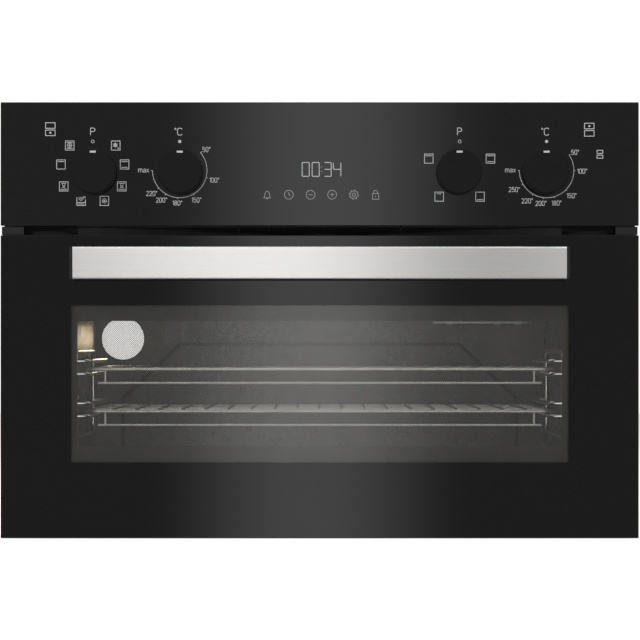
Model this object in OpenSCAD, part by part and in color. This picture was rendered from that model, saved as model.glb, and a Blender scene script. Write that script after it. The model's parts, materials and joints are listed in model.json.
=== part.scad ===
// Built-in electric oven module: glass control panel, drop-down glass door, one cavity.
// X runs across the front, the front looks towards -Y and +Z is up.
// The origin is at the middle of the bounding box's base.

/* [Front] */
// Width of the door and of the control panel
front_w = 594; // [590:1:598]
// Height of the door glass
door_h = 282; // [276:1:290]
// Height of the gap between door and control panel
gap_h = 8.8; // [8:0.2:11]
// Height of the control panel glass
panel_h = 115; // [110:0.5:120]
// Thickness of the glass panes
glass_t = 4; // [3:0.5:4]

/* [Body] */
// Width of the casing that slides into the cabinet
body_w = 556; // [554:1:560]
// Height of the casing
body_h = 402; // [400:1:404]
// Depth from the handle's face to the rearmost point
total_d = 609; // [600:1:640]
// Thickness of the casing sheet
sheet = 1; // [0.8:0.1:1.2]

/* [Cavity] */
// Inner width of the cavity
cavity_w = 470; // [466:1:472]
// Inner height of the cavity
cavity_h = 186; // [184:1:188]
// Inner depth of the cavity behind the front frame
cavity_d = 405; // [400:1:410]
// Height of the cavity floor above the base
cavity_z = 52; // [51:1:54]
// Inner corner radius of the cavity
cavity_r = 14; // [8:1:18]

/* [Handle] */
// Length of the handle bar
bar_len = 454.5; // [400:0.5:500]
// Height of the handle bar
bar_h = 29.8; // [20:0.1:34]
// Thickness of the handle bar
bar_t = 10; // [8:0.5:12]
// Distance from the door glass to the face of the bar
handle_reach = 42; // [36:1:48]
// Height of the middle of the bar above the base
bar_z = 255.8; // [240:0.1:262]

/* [Controls] */
// Diameter of a control knob
knob_d = 41.5; // [36:0.5:44]
// How far a knob stands out of the glass
knob_reach = 19; // [17:1:26]
// Distance of the outer knobs from the middle
outer_knob_x = 210; // [200:1:220]
// Distance of the inner knobs from the middle
inner_knob_x = 129.5; // [120:0.5:135]
// Height of the knobs above the base
knob_z = 341.4; // [335:0.1:350]

/* [Shelves] */
// Heights of the two wire shelves above the base
shelf_zs = [117.5, 157.3];
// Half the width of a wire shelf
shelf_half_w = 222; // [218:0.5:223]
// Radius of a shelf's frame wire
frame_wire_r = 1.6; // [1.4:0.1:2.5]
// Number of thin wires across a shelf
thin_wires = 19; // [11:1:25]

/* [Hidden] */
$fn = 48;

// Planes from front to back
glass_y = -total_d / 2 + handle_reach;
glass_back_y = glass_y + glass_t;
inner_back_y = glass_y + 21.5;
inner_front_y = inner_back_y - glass_t;
frame_y = glass_y + 25.3;
frame_t = 1.2;
body_y = frame_y + frame_t;
back_wall_y = body_y + cavity_d;
rear_y = total_d / 2;
cover_y = rear_y - 5.2;

// Heights
door_z = 0.5;
door_top = door_z + door_h;
panel_z = door_top + gap_h;
panel_top = panel_z + panel_h;
cavity_top = cavity_z + cavity_h;
tray_z = cavity_top + 30;
duct_top = panel_z + 3;
frame_top = 404;

// Door hinge
pivot_y = glass_y + 14.5;
pivot_z = 10;
hinge_x = 267;
pin_r = 3;
running = 0.05;

// Door frame
profile_x = 281;
profile_in = 254;
profile_t = 1.2;
profile_top = 268;
inner_pane_w = 512;
inner_pane_z = 14;
inner_pane_top = 270;

// Handle fixings
support_x = 221;
screw_pitch = 13.5;
screw_r = 2.5;

// Screws that hold the oven in its cabinet
cabinet_screw_x = 286.5;
cabinet_screw_zs = [40, 250];
cabinet_hole_r = 2.6;

// Screws that hold the casing's side panels
casing_screw_ys = [body_y + 6, cover_y - 8];
casing_screw_zs = [60, 200, 340];
casing_screw_r = 2;

// Shelf supports
ladder_x = 229.5;
ladder_y = [body_y + 14, body_y + 273.5];
ladder_z = [92, 174.2];
stud_y = [ladder_y[0] + 40, ladder_y[1] - 30];
guide_x = 216;
guide_r = 2;
guide_below = frame_wire_r + guide_r + 0.6;
guide_above = 7.9;
shelf_y = [glass_y + 60, back_wall_y - 29];
rail_drop = 12.9;

// Heaters
heater_r = 3.2;
grill_z = cavity_top - 10;
grill_leg_x = 150;
base_heater_z = cavity_z - sheet - heater_r - 1;
base_leg_x = 30;
base_leg_r = 2.6;

// Lamp, on the cavity's back wall
lamp_x = -206;
lamp_z = 187;
lens_r = 21.8;

// Thermostat probe, along the back wall
probe_z = 203.9;
probe_x = [118.5, 221];
probe_y = back_wall_y - 10;
probe_r = 1.65;

// Cooling fan
fan_y = 120;
fan_floor = tray_z + sheet;
fan_top = fan_floor + 31;
housing_r = 72;
shaft_r = 3;
duct_x = [231, 52];

// Spindles of the switches and thermostats
spindle_r = 3;
neck_r = 5;

// Cable entry
gland_x = 200;
gland_z = 300;
gland_r = 9;
cable_hole_r = 6;

// Clock board behind the panel glass
timer_w = 104;
timer_z = [316, 368];

knob_xs = [-outer_knob_x, -inner_knob_x, inner_knob_x, outer_knob_x];

// ---------- helpers ----------

// A box from corner a to corner b
module block(a, b) {
    translate(a) cube(b - a);
}

// A flat drawing in X and Z, made solid from y0 to y1
module slab(y0, y1) {
    translate([0, y1, 0]) rotate([90, 0, 0]) linear_extrude(y1 - y0) children();
}

// A rectangle with round corners, from corner a to corner b
module rounded(a, b, r) {
    translate([a.x + r, a.y]) square([b.x - a.x - 2 * r, b.y - a.y]);
    translate([a.x, a.y + r]) square([b.x - a.x, b.y - a.y - 2 * r]);
    for (x = [a.x + r, b.x - r], y = [a.y + r, b.y - r]) translate([x, y]) circle(r);
}

module rod_x(x0, x1, y, z, r) {
    translate([x0, y, z]) rotate([0, 90, 0]) cylinder(h = x1 - x0, r = r);
}

module rod_y(y0, y1, x, z, r) {
    translate([x, y1, z]) rotate([90, 0, 0]) cylinder(h = y1 - y0, r = r);
}

module rod_z(z0, z1, x, y, r) {
    translate([x, y, z0]) cylinder(h = z1 - z0, r = r);
}

// Both sides of the oven, from a drawing of its right side
module both_sides() {
    children();
    mirror([1, 0, 0]) children();
}

module left_side() {
    mirror([1, 0, 0]) children();
}

// A quarter bend of a wire in the XY plane, turned by a
module bend(x, y, bend_r, wire_r, a) {
    translate([x, y, 0]) rotate([0, 0, a])
        rotate_extrude(angle = 90) translate([bend_r, 0]) circle(wire_r);
}

// A closed loop of wire in the XY plane from corner a to corner b
module wire_loop(a, b, bend_r, wire_r) {
    for (y = [a.y, b.y]) rod_x(a.x + bend_r, b.x - bend_r, y, 0, wire_r);
    for (x = [a.x, b.x]) rod_y(a.y + bend_r, b.y - bend_r, x, 0, wire_r);
    bend(b.x - bend_r, b.y - bend_r, bend_r, wire_r, 0);
    bend(a.x + bend_r, b.y - bend_r, bend_r, wire_r, 90);
    bend(a.x + bend_r, a.y + bend_r, bend_r, wire_r, 180);
    bend(b.x - bend_r, a.y + bend_r, bend_r, wire_r, 270);
}

// ---------- door ----------

module door_outer_glass() {
    color([0.06, 0.06, 0.06]) difference() {
        slab(glass_y, glass_back_y)
            rounded([-front_w / 2, door_z], [front_w / 2, door_top], 1.5);
        for (x = [-support_x, support_x], z = [-0.5, 0.5])
            rod_y(glass_y - 1, glass_back_y + 1, x, bar_z + z * screw_pitch, screw_r + 0.5);
    }
}

module door_inner_glass() {
    half_w = inner_pane_w / 2;
    color([0.35, 0.36, 0.34]) slab(inner_front_y, inner_back_y)
        rounded([-half_w, inner_pane_z], [half_w, inner_pane_top], 2);
}

module door_top_profile() {
    slot_w = 30;
    slots = 13;
    slot_pitch = 40;
    slot_y = [glass_back_y + 5, glass_back_y + 11];
    top = door_top - 1;
    color([0.12, 0.12, 0.12]) difference() {
        union() {
            block([-profile_x, glass_back_y, profile_top + 0.2],
                [profile_x, glass_back_y + profile_t, top]);
            block([-profile_x, glass_back_y, top - profile_t], [profile_x, inner_back_y, top]);
            block([-profile_x, inner_back_y - profile_t, inner_pane_top + 0.3],
                [profile_x, inner_back_y, top]);
        }
        for (i = [0:slots - 1]) {
            x = (i - (slots - 1) / 2) * slot_pitch;
            block([x - slot_w / 2, slot_y[0], top - 4], [x + slot_w / 2, slot_y[1], top + 1]);
        }
    }
}

// Open section between the panes that holds the hinge channel
module side_profile() {
    low = pivot_z + 2;
    high = profile_top;
    back = inner_back_y + 1;
    color([0.55, 0.55, 0.56]) {
        block([profile_in, glass_back_y, low], [profile_x, glass_back_y + profile_t, high]);
        block([profile_x - profile_t, glass_back_y, low], [profile_x, back, high]);
        block([profile_in, glass_back_y, low], [profile_in + profile_t, inner_front_y, high]);
        block([profile_x - 5, back - profile_t, low], [profile_x, back, high]);
    }
}

module door_side_profile_left() {
    left_side() side_profile();
}

module door_side_profile_right() {
    side_profile();
}

module door_bottom_profile() {
    low = pivot_z + 1;
    color([0.12, 0.12, 0.12]) {
        block([-profile_in, glass_back_y, low], [profile_in, inner_back_y + 1, low + profile_t]);
        block([-profile_in, glass_back_y, low], [profile_in, glass_back_y + profile_t, low + 9]);
        block([-profile_in, inner_back_y + 0.1, low], [profile_in, inner_back_y + 1, low + 8]);
    }
}

// Plastic catches that hold the removable inner pane at its top corners
module inner_glass_clips() {
    clip_x = 235;
    clip_w = 22;
    color([0.1, 0.1, 0.1]) both_sides()
        block([clip_x - clip_w / 2, inner_back_y, inner_pane_top - 8],
            [clip_x + clip_w / 2, inner_back_y + 1.8, door_top - 2]);
}

module handle_bar() {
    edge = 1.5;
    wall = 2;
    front = -total_d / 2;
    low = bar_z - bar_h / 2;
    high = bar_z + bar_h / 2;
    color([0.75, 0.75, 0.74]) translate([-bar_len / 2, 0, 0])
        rotate([90, 0, 90]) linear_extrude(bar_len) difference() {
            rounded([front, low], [front + bar_t, high], edge);
            rounded([front + wall, low + wall], [front + bar_t - wall, high - wall], edge / 2);
        }
}

// End blocks between the bar and the glass, with a cheek over each end of the bar
module handle_supports() {
    front = -total_d / 2;
    foot = 17;
    cheek = 3;
    end_x = bar_len / 2;
    z0 = bar_z - bar_h / 2;
    z1 = bar_z + bar_h / 2;
    color([0.16, 0.16, 0.16]) both_sides() difference() {
        union() {
            block([end_x - foot, front + bar_t, z0 + 1], [end_x + cheek, glass_y, z1 - 1]);
            block([end_x, front + 1, z0], [end_x + cheek, glass_y, z1]);
        }
        for (z = [-0.5, 0.5])
            rod_y(front + bar_t + 8, glass_y + 1, support_x, bar_z + z * screw_pitch, screw_r);
    }
}

module handle_screws() {
    front = -total_d / 2;
    head_r = 4.5;
    color([0.7, 0.7, 0.7]) both_sides() for (z = [-0.5, 0.5]) {
        screw_z = bar_z + z * screw_pitch;
        rod_y(front + bar_t + 10, glass_back_y + 3, support_x, screw_z, screw_r);
        rod_y(glass_back_y, glass_back_y + 3, support_x, screw_z, head_r);
    }
}

// Steel channels inside the side profiles, open to the back, that turn on the pins
module hinge_channels() {
    half_w = 7;
    wall = 1.5;
    top = 130;
    eye_r = 5.5;
    pad_zs = [30, 105];
    front = pivot_y - half_w;
    back = pivot_y + eye_r;
    color([0.6, 0.6, 0.6]) both_sides() difference() {
        union() {
            for (x = [hinge_x - half_w, hinge_x + half_w - wall]) {
                block([x, front, pivot_z], [x + wall, back, top]);
                rod_x(x, x + wall, pivot_y, pivot_z, eye_r);
            }
            block([hinge_x - half_w, front, pivot_z], [hinge_x + half_w, front + wall, top]);
            for (z = pad_zs)
                block([hinge_x - 5, glass_back_y + profile_t, z], [hinge_x + 5, front, z + 10]);
        }
        rod_x(hinge_x - half_w - 1, hinge_x + half_w + 1, pivot_y, pivot_z, pin_r);
    }
}

module hinge_pins() {
    color([0.7, 0.7, 0.7]) both_sides() {
        rod_x(hinge_x - 8, hinge_x + 8, pivot_y, pivot_z, pin_r);
        rod_x(hinge_x + 7, hinge_x + 8, pivot_y, pivot_z, 4.5);
    }
}

// Springs that balance the door, one in each channel
module hinge_springs() {
    outer = 4;
    inner = 2.6;
    low = 44;
    high = 122;
    color([0.5, 0.5, 0.5]) both_sides() difference() {
        rod_z(low, high, hinge_x, pivot_y, outer);
        rod_z(low - 1, high + 1, hinge_x, pivot_y, inner);
    }
}

// Flat arms that reach out of the front frame and carry the pins
module hinge_arms() {
    half_w = 4;
    eye_r = 5;
    reach = 56;
    hook_y = [body_y + 10, body_y + 20];
    hook_h = 12;
    color([0.6, 0.6, 0.6]) both_sides() difference() {
        union() {
            rod_x(hinge_x - half_w, hinge_x + half_w, pivot_y, pivot_z, eye_r);
            block([hinge_x - half_w, pivot_y, pivot_z - half_w],
                [hinge_x + half_w, body_y + reach, pivot_z + half_w]);
            block([hinge_x - half_w, hook_y[0], pivot_z], [hinge_x + half_w, hook_y[1], pivot_z + hook_h]);
        }
        rod_x(hinge_x - half_w - 1, hinge_x + half_w + 1, pivot_y, pivot_z, pin_r + running);
    }
}

// Steel pockets behind the front frame that the arms hook into
module hinge_receivers() {
    half_w = 6;
    wall = 1.5;
    depth = 60;
    low = 2;
    high = 32;
    color([0.62, 0.62, 0.62]) both_sides() difference() {
        block([hinge_x - half_w - wall, body_y, low], [hinge_x + half_w + wall, body_y + depth, high]);
        block([hinge_x - half_w, body_y - 1, low + wall],
            [hinge_x + half_w, body_y + depth - wall, high - wall]);
    }
}

// ---------- front of the body ----------

module front_frame() {
    edge = 1.5;
    lip = 12;
    lip_z = [40, 380];
    outlet_w = 150;
    web = 2;
    color([0.13, 0.13, 0.13]) difference() {
        union() {
            slab(frame_y, body_y) rounded([-front_w / 2 + edge, 0], [front_w / 2 - edge, frame_top], 2);
            both_sides() block([body_w / 2 - sheet - frame_t, body_y, lip_z[0]],
                [body_w / 2 - sheet, body_y + lip, lip_z[1]]);
        }
        slab(frame_y - 1, body_y + 1)
            rounded([-cavity_w / 2, cavity_z], [cavity_w / 2, cavity_top], cavity_r);
        for (x = knob_xs) rod_y(frame_y - 1, body_y + 1, x, knob_z, knob_d / 2 + 1);
        block([-timer_w / 2 - 4, frame_y - 1, timer_z[0] - 4],
            [timer_w / 2 + 4, body_y + 1, timer_z[1] + 4]);
        for (i = [-1:1])
            block([i * (outlet_w + web) - outlet_w / 2, frame_y - 1, fan_floor + 3],
                [i * (outlet_w + web) + outlet_w / 2, body_y + 1, duct_top - 1.5]);
        for (x = [-hinge_x, hinge_x])
            block([x - 5, frame_y - 1, pivot_z - 5], [x + 5, body_y + 1, pivot_z + 13]);
        for (x = [-cabinet_screw_x, cabinet_screw_x], z = cabinet_screw_zs)
            rod_y(frame_y - 1, body_y + 1, x, z, cabinet_hole_r);
        casing_screw_holes();
    }
}

// Silicone seal around the cavity mouth
module door_seal() {
    gap = 3;
    seal_w = 7;
    grow = gap + seal_w;
    color([0.2, 0.2, 0.2]) slab(inner_back_y + 0.2, frame_y) difference() {
        rounded([-cavity_w / 2 - grow, cavity_z - grow], [cavity_w / 2 + grow, cavity_top + grow],
            cavity_r + grow);
        rounded([-cavity_w / 2 - gap, cavity_z - gap], [cavity_w / 2 + gap, cavity_top + gap],
            cavity_r + gap);
    }
}

// Plastic trim in the air gap between door and panel: a strip, two end blocks and two low fins
module vent_trim() {
    strip = 1;
    end_x = [275.5, 296];
    fin_x = [230, 242, 268];
    fin_h = 3.8;
    front = glass_y + 2;
    fin_y = glass_y + 13;
    low = door_top + 0.5;
    high = panel_z - 0.4;
    color([0.08, 0.08, 0.08]) {
        block([-end_x[1], fin_y, high - strip], [end_x[1], frame_y, high]);
        both_sides() {
            block([end_x[0], front, low], [end_x[1], frame_y, high - 0.4]);
            slab(fin_y, frame_y) polygon([
                [fin_x[0], low], [fin_x[2], low], [fin_x[2], low + fin_h], [fin_x[1], low + fin_h]
            ]);
        }
    }
}

// ---------- cavity ----------

module cavity_outline(grow) {
    rounded([-cavity_w / 2 - grow, cavity_z - grow], [cavity_w / 2 + grow, cavity_top + grow],
        cavity_r + grow);
}

// Enamelled sleeve of the oven space
module cavity_liner() {
    color([0.2, 0.2, 0.21]) difference() {
        slab(body_y, back_wall_y) cavity_outline(sheet);
        slab(body_y - 1, back_wall_y + 1) cavity_outline(0);
        for (y = stud_y, z = ladder_z)
            rod_x(-cavity_w / 2 - 2, cavity_w / 2 + 2, y, z, guide_r + 0.3);
    }
}

// Outline of the panel pressed into the back wall, smaller all round by t
module pressed_outline(t) {
    polygon([
        [-208 + t, cavity_z + 12 + t], [-208 + t, 125 - t / 2], [-147 + t / 2, 183 - t],
        [147 - t / 2, 183 - t], [208 - t, 125 - t / 2], [208 - t, cavity_z + 12 + t]
    ]);
}

module cavity_back() {
    press = 3;
    color([0.2, 0.2, 0.21]) difference() {
        union() {
            slab(back_wall_y, back_wall_y + sheet) cavity_outline(sheet);
            slab(back_wall_y - press, back_wall_y) pressed_outline(0);
        }
        slab(back_wall_y - press + sheet, back_wall_y + sheet + 1) pressed_outline(2 * sheet);
        rod_y(back_wall_y - 1, back_wall_y + 2, lamp_x, lamp_z, 17.1);
        rod_y(back_wall_y - 1, back_wall_y + 2, probe_x[1], probe_z, probe_r + 0.6);
        for (x = [-grill_leg_x, grill_leg_x])
            rod_y(back_wall_y - 1, back_wall_y + 2, x, grill_z, heater_r + 0.8);
    }
}

// Tubular heater under the cavity's ceiling, with its two legs through the back wall
module grill_element() {
    inner_x = 93;
    front = body_y + 60;
    back = back_wall_y - 60;
    bend_r = 16;
    bracket = 8;
    color([0.35, 0.34, 0.33]) {
        translate([0, 0, grill_z]) {
            both_sides() {
                rod_y(front + bend_r, back_wall_y + 20, grill_leg_x, 0, heater_r);
                rod_y(front + bend_r, back - bend_r, inner_x, 0, heater_r);
                bend(grill_leg_x - bend_r, front + bend_r, bend_r, heater_r, 270);
                bend(inner_x + bend_r, front + bend_r, bend_r, heater_r, 180);
                rod_x(inner_x + bend_r, grill_leg_x - bend_r, front, 0, heater_r);
                bend(inner_x - bend_r, back - bend_r, bend_r, heater_r, 0);
            }
            rod_x(-inner_x + bend_r, inner_x - bend_r, back, 0, heater_r);
        }
        for (y = [front + 40, back - 30])
            block([-grill_leg_x, y, grill_z + heater_r - 0.4], [grill_leg_x, y + bracket, cavity_top]);
    }
}

// Hidden heater under the cavity floor
module base_element() {
    half_w = 160;
    inset = 70;
    color([0.35, 0.34, 0.33]) translate([0, 0, base_heater_z]) {
        wire_loop([-half_w, body_y + inset], [half_w, back_wall_y - inset], 30, heater_r);
        for (x = [-base_leg_x, base_leg_x])
            rod_y(back_wall_y - inset, back_wall_y + 20, x, 0, base_leg_r);
    }
}

// Mineral wool around the sides, top, bottom and back of the cavity
module insulation_blanket() {
    wool = 30;
    side_x = 257;
    under = 14;
    back = back_wall_y + wool;
    color([0.75, 0.72, 0.6]) difference() {
        block([-side_x, body_y + 4, 12], [side_x, back, tray_z - 4]);
        block([-cavity_w / 2 - 2, body_y, cavity_z - under],
            [cavity_w / 2 + 2, back_wall_y + sheet + 1, cavity_top + 2]);
        rod_y(back_wall_y, back + 1, lamp_x, lamp_z, 20);
        rod_y(back_wall_y, back + 1, probe_x[1], probe_z, probe_r + 1);
        for (x = [-grill_leg_x, grill_leg_x]) rod_y(back_wall_y, back + 1, x, grill_z, heater_r + 1);
        for (x = [-base_leg_x, base_leg_x]) rod_y(back_wall_y, back + 1, x, base_heater_z, base_leg_r + 1);
    }
}

module lamp_holder() {
    color([0.85, 0.84, 0.8]) difference() {
        union() {
            rod_y(back_wall_y + sheet, back_wall_y + 46, lamp_x, lamp_z, 18.5);
            rod_y(back_wall_y, back_wall_y + sheet, lamp_x, lamp_z, 17);
        }
        rod_y(back_wall_y - 1, back_wall_y + 40, lamp_x, lamp_z, 15);
    }
}

module lamp_bulb() {
    color([1, 0.95, 0.85]) {
        translate([lamp_x, back_wall_y + 6, lamp_z]) sphere(11);
        rod_y(back_wall_y + 10, back_wall_y + 40, lamp_x, lamp_z, 7);
    }
}

// Screw-in glass cover of the lamp
module lamp_lens() {
    proud = 14;
    wall = 2.2;
    edge = 6;
    color([0.95, 0.95, 0.9, 0.6]) translate([lamp_x, back_wall_y, lamp_z]) rotate([90, 0, 0])
        rotate_extrude() difference() {
            union() {
                square([lens_r - edge, proud]);
                square([lens_r, proud - edge]);
                translate([lens_r - edge, proud - edge]) intersection() {
                    circle(edge);
                    square(edge);
                }
            }
            translate([-1, -1]) square([lens_r - wall + 1 - edge / 2, proud - wall + 1]);
        }
}

module thermostat_probe() {
    bend_r = 8;
    color([0.7, 0.7, 0.68]) {
        rod_x(probe_x[0], probe_x[1] - bend_r, probe_y, probe_z, probe_r);
        translate([0, 0, probe_z])
            bend(probe_x[1] - bend_r, probe_y + bend_r, bend_r, probe_r, 270);
        rod_y(probe_y + bend_r, back_wall_y + 34, probe_x[1], probe_z, probe_r);
    }
}

// Spring clips that hold the probe off the back wall
module probe_clips() {
    color([0.6, 0.6, 0.6]) for (x = [136, 185.7, 207.7]) difference() {
        union() {
            rod_x(x - 3, x + 3, probe_y, probe_z, probe_r + 1);
            block([x - 3, probe_y, probe_z - 1], [x + 3, back_wall_y, probe_z + 1]);
        }
        rod_x(x - 4, x + 4, probe_y, probe_z, probe_r);
    }
}

// ---------- shelves ----------

// Wire frame on the cavity's side wall, with a pair of guides for each shelf
module shelf_ladder() {
    end_ball = 3.2;
    run_bend = 7;
    color([0.78, 0.78, 0.77]) {
        translate([ladder_x, 0, 0]) rotate([90, 0, 90])
            wire_loop([ladder_y[0], ladder_z[0]], [ladder_y[1], ladder_z[1]], 9, guide_r);
        for (z = shelf_zs, level = [-guide_below, guide_above]) translate([0, 0, z + level]) {
            rod_y(ladder_y[0] + run_bend, ladder_y[1] - run_bend, guide_x, 0, guide_r);
            bend(guide_x + run_bend, ladder_y[0] + run_bend, run_bend, guide_r, 180);
            bend(guide_x + run_bend, ladder_y[1] - run_bend, run_bend, guide_r, 90);
            for (y = ladder_y) rod_x(guide_x + run_bend, ladder_x, y, 0, guide_r);
        }
        for (z = shelf_zs) translate([ladder_x, ladder_y[1], z - guide_below]) sphere(end_ball);
        for (y = stud_y, z = ladder_z) rod_x(ladder_x, cavity_w / 2 + sheet, y, z, guide_r);
    }
}

module shelf_ladder_left() {
    left_side() shelf_ladder();
}

module shelf_ladder_right() {
    shelf_ladder();
}

module wire_shelf(z) {
    half = shelf_half_w - frame_wire_r;
    thin_r = 1.1;
    thin_z = frame_wire_r - 0.5;
    thin_half = 198;
    cross_inset = 115;
    front = shelf_y[0];
    back = shelf_y[1];
    color([0.8, 0.8, 0.79]) translate([0, 0, z]) {
        wire_loop([-half, front], [half, back], 10, frame_wire_r);
        for (i = [0:thin_wires - 1]) {
            x = -thin_half + i * 2 * thin_half / (thin_wires - 1);
            rod_y(front - 1, back + 1, x, thin_z, thin_r);
        }
        for (y = [front + cross_inset, back - cross_inset]) rod_x(-half, half, y, 0, frame_wire_r);
    }
}

// Stop rail under the front of a shelf, on two short posts welded to the frame wire
module shelf_rail(z) {
    rail_r = 1.2;
    rail_x = 210;
    post_r = 1.2;
    post_x = 203;
    front = shelf_y[0];
    color([0.8, 0.8, 0.79]) translate([0, 0, z]) difference() {
        union() {
            rod_x(-rail_x, rail_x, front, -rail_drop, rail_r);
            for (x = [-post_x, post_x]) rod_z(-rail_drop, 0, x, front, post_r);
        }
        rod_x(-rail_x, rail_x, front, 0, frame_wire_r);
    }
}

module wire_shelf_upper() {
    wire_shelf(shelf_zs[1]);
}

module wire_shelf_lower() {
    wire_shelf(shelf_zs[0]);
}

module shelf_rail_upper() {
    shelf_rail(shelf_zs[1]);
}

module shelf_rail_lower() {
    shelf_rail(shelf_zs[0]);
}

// ---------- casing ----------

module casing_screw_holes() {
    both_sides() for (y = casing_screw_ys, z = casing_screw_zs)
        rod_x(body_w / 2 - 7, body_w / 2 + 1, y, z, casing_screw_r);
}

module side_panel() {
    color([0.66, 0.67, 0.67]) difference() {
        block([body_w / 2 - sheet, body_y, sheet], [body_w / 2, cover_y, body_h - sheet]);
        casing_screw_holes();
    }
}

module side_panel_left() {
    left_side() side_panel();
}

module side_panel_right() {
    side_panel();
}

module top_cover() {
    slots = 9;
    slot = [60, 4];
    pitch = [150, 12];
    first_y = 60;
    color([0.66, 0.67, 0.67]) difference() {
        block([-body_w / 2, body_y, body_h - sheet], [body_w / 2, cover_y, body_h]);
        for (i = [0:slots - 1], k = [-1:1])
            translate([k * pitch.x - slot.x / 2, first_y + i * pitch.y, body_h - 2])
                cube([slot.x, slot.y, 3]);
    }
}

module rear_cover() {
    slots = 8;
    slot = [80, 3];
    slot_pitch = 9;
    first_z = 300;
    color([0.66, 0.67, 0.67]) difference() {
        slab(cover_y, cover_y + sheet) rounded([-body_w / 2, sheet], [body_w / 2, body_h], 2);
        for (i = [0:slots - 1], x = [-120, 0])
            translate([x - slot.x / 2, cover_y - 1, first_z + i * slot_pitch])
                cube([slot.x, 3, slot.y]);
        rod_y(cover_y - 1, cover_y + 2, gland_x, gland_z, gland_r + 0.1);
    }
}

module base_panel() {
    color([0.66, 0.67, 0.67]) block([-body_w / 2, body_y, 0], [body_w / 2, cover_y + sheet, sheet]);
}

// Sheet that closes the insulated space and carries the fan and the wiring
module heat_shield_tray() {
    half = body_w / 2 - sheet - 0.1;
    color([0.6, 0.61, 0.61]) {
        block([-half, body_y + 13, tray_z], [half, cover_y, tray_z + sheet]);
        block([-half + 10, cover_y - sheet, tray_z], [half - 10, cover_y, tray_z + 15]);
        both_sides() block([half - sheet, body_y + 13, tray_z], [half, cover_y - 20, tray_z + 10]);
    }
}

// Outline of the air duct, smaller all round by t
module duct_outline(t) {
    polygon([
        [-duct_x[0] + t, body_y], [duct_x[0] - t, body_y], [duct_x[0] - t, body_y + 80],
        [duct_x[1] - t, fan_y - 60], [-duct_x[1] + t, fan_y - 60], [-duct_x[0] + t, body_y + 80]
    ]);
}

module air_duct() {
    color([0.6, 0.61, 0.61]) difference() {
        translate([0, 0, fan_floor]) linear_extrude(duct_top - fan_floor) duct_outline(0);
        translate([0, 0, fan_floor - 1]) linear_extrude(duct_top - fan_floor) duct_outline(1);
        block([-duct_x[1] + 1, fan_y - 62, fan_floor - 1], [duct_x[1] - 1, fan_y - 50, duct_top - 1]);
        block([-duct_x[0] + 1, body_y - 1, fan_floor - 1], [duct_x[0] - 1, body_y + 2, duct_top - 1]);
    }
}

module fan_housing() {
    color([0.62, 0.63, 0.63]) difference() {
        translate([0, fan_y, fan_floor]) cylinder(h = fan_top - fan_floor, r = housing_r);
        translate([0, fan_y, fan_floor + sheet])
            cylinder(h = fan_top - fan_floor - 2 * sheet, r = housing_r - sheet);
        translate([0, fan_y, fan_top - 2]) cylinder(h = 4, r = 42);
        block([-60, fan_y - housing_r - 1, fan_floor - 1], [60, fan_y - 38, duct_top + 0.2]);
    }
}

// Radial blower wheel on the motor's shaft
module fan_rotor() {
    blades = 24;
    wheel_r = 58;
    floor = fan_floor + 4;
    color([0.7, 0.7, 0.7]) {
        translate([0, fan_y, floor]) {
            cylinder(h = 1.5, r = wheel_r);
            cylinder(h = 10, r = 9);
            translate([0, 0, 17]) difference() {
                cylinder(h = 1.5, r = wheel_r);
                translate([0, 0, -1]) cylinder(h = 4, r = 46);
            }
            for (i = [0:blades - 1]) rotate([0, 0, i * 360 / blades])
                translate([45, -0.5, 0]) cube([12, 1, 18]);
        }
        rod_z(floor, fan_top + 22, 0, fan_y, shaft_r);
    }
}

// Shaded-pole motor on a strap across the housing's inlet
module fan_motor() {
    color([0.5, 0.5, 0.52]) difference() {
        union() {
            block([-66, fan_y - 10, fan_top], [66, fan_y + 10, fan_top + 1.5]);
            block([-32, fan_y - 28, fan_top + 4], [32, fan_y + 28, fan_top + 20]);
            rod_z(fan_top + 1, fan_top + 30, 0, fan_y, 16);
            for (x = [-24, 24]) rod_z(fan_top + 1, fan_top + 6, x, fan_y, 4);
        }
        rod_z(fan_top - 1, fan_top + 23, 0, fan_y, shaft_r + running);
    }
}

module terminal_block() {
    poles = 5;
    color([0.9, 0.9, 0.88]) difference() {
        block([gland_x - 32, 240, fan_floor], [gland_x + 32, 266, fan_floor + 22]);
        for (i = [0:poles - 1])
            rod_z(fan_floor + 8, fan_floor + 23, gland_x + (i - 2) * 12, 253, 3.5);
    }
}

// Cable entry in the rear cover, for the fixed supply cable
module cable_gland() {
    color([0.1, 0.1, 0.1]) difference() {
        union() {
            rod_y(cover_y - 12, rear_y, gland_x, gland_z, gland_r);
            rod_y(cover_y + sheet, rear_y, gland_x, gland_z, gland_r + 3);
            rod_y(cover_y - 4, cover_y, gland_x, gland_z, gland_r + 3);
        }
        rod_y(cover_y - 13, rear_y + 1, gland_x, gland_z, cable_hole_r);
    }
}

module casing_screws() {
    color([0.7, 0.7, 0.7]) both_sides() for (y = casing_screw_ys, z = casing_screw_zs)
        rod_x(body_w / 2 - 6, body_w / 2, y, z, casing_screw_r);
}

// ---------- controls ----------

module control_panel_glass() {
    color([0.06, 0.06, 0.06]) difference() {
        slab(glass_y, glass_back_y)
            rounded([-front_w / 2, panel_z], [front_w / 2, panel_top], 1.5);
        for (x = knob_xs) rod_y(glass_y - 1, glass_back_y + 1, x, knob_z, 7);
    }
}

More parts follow.
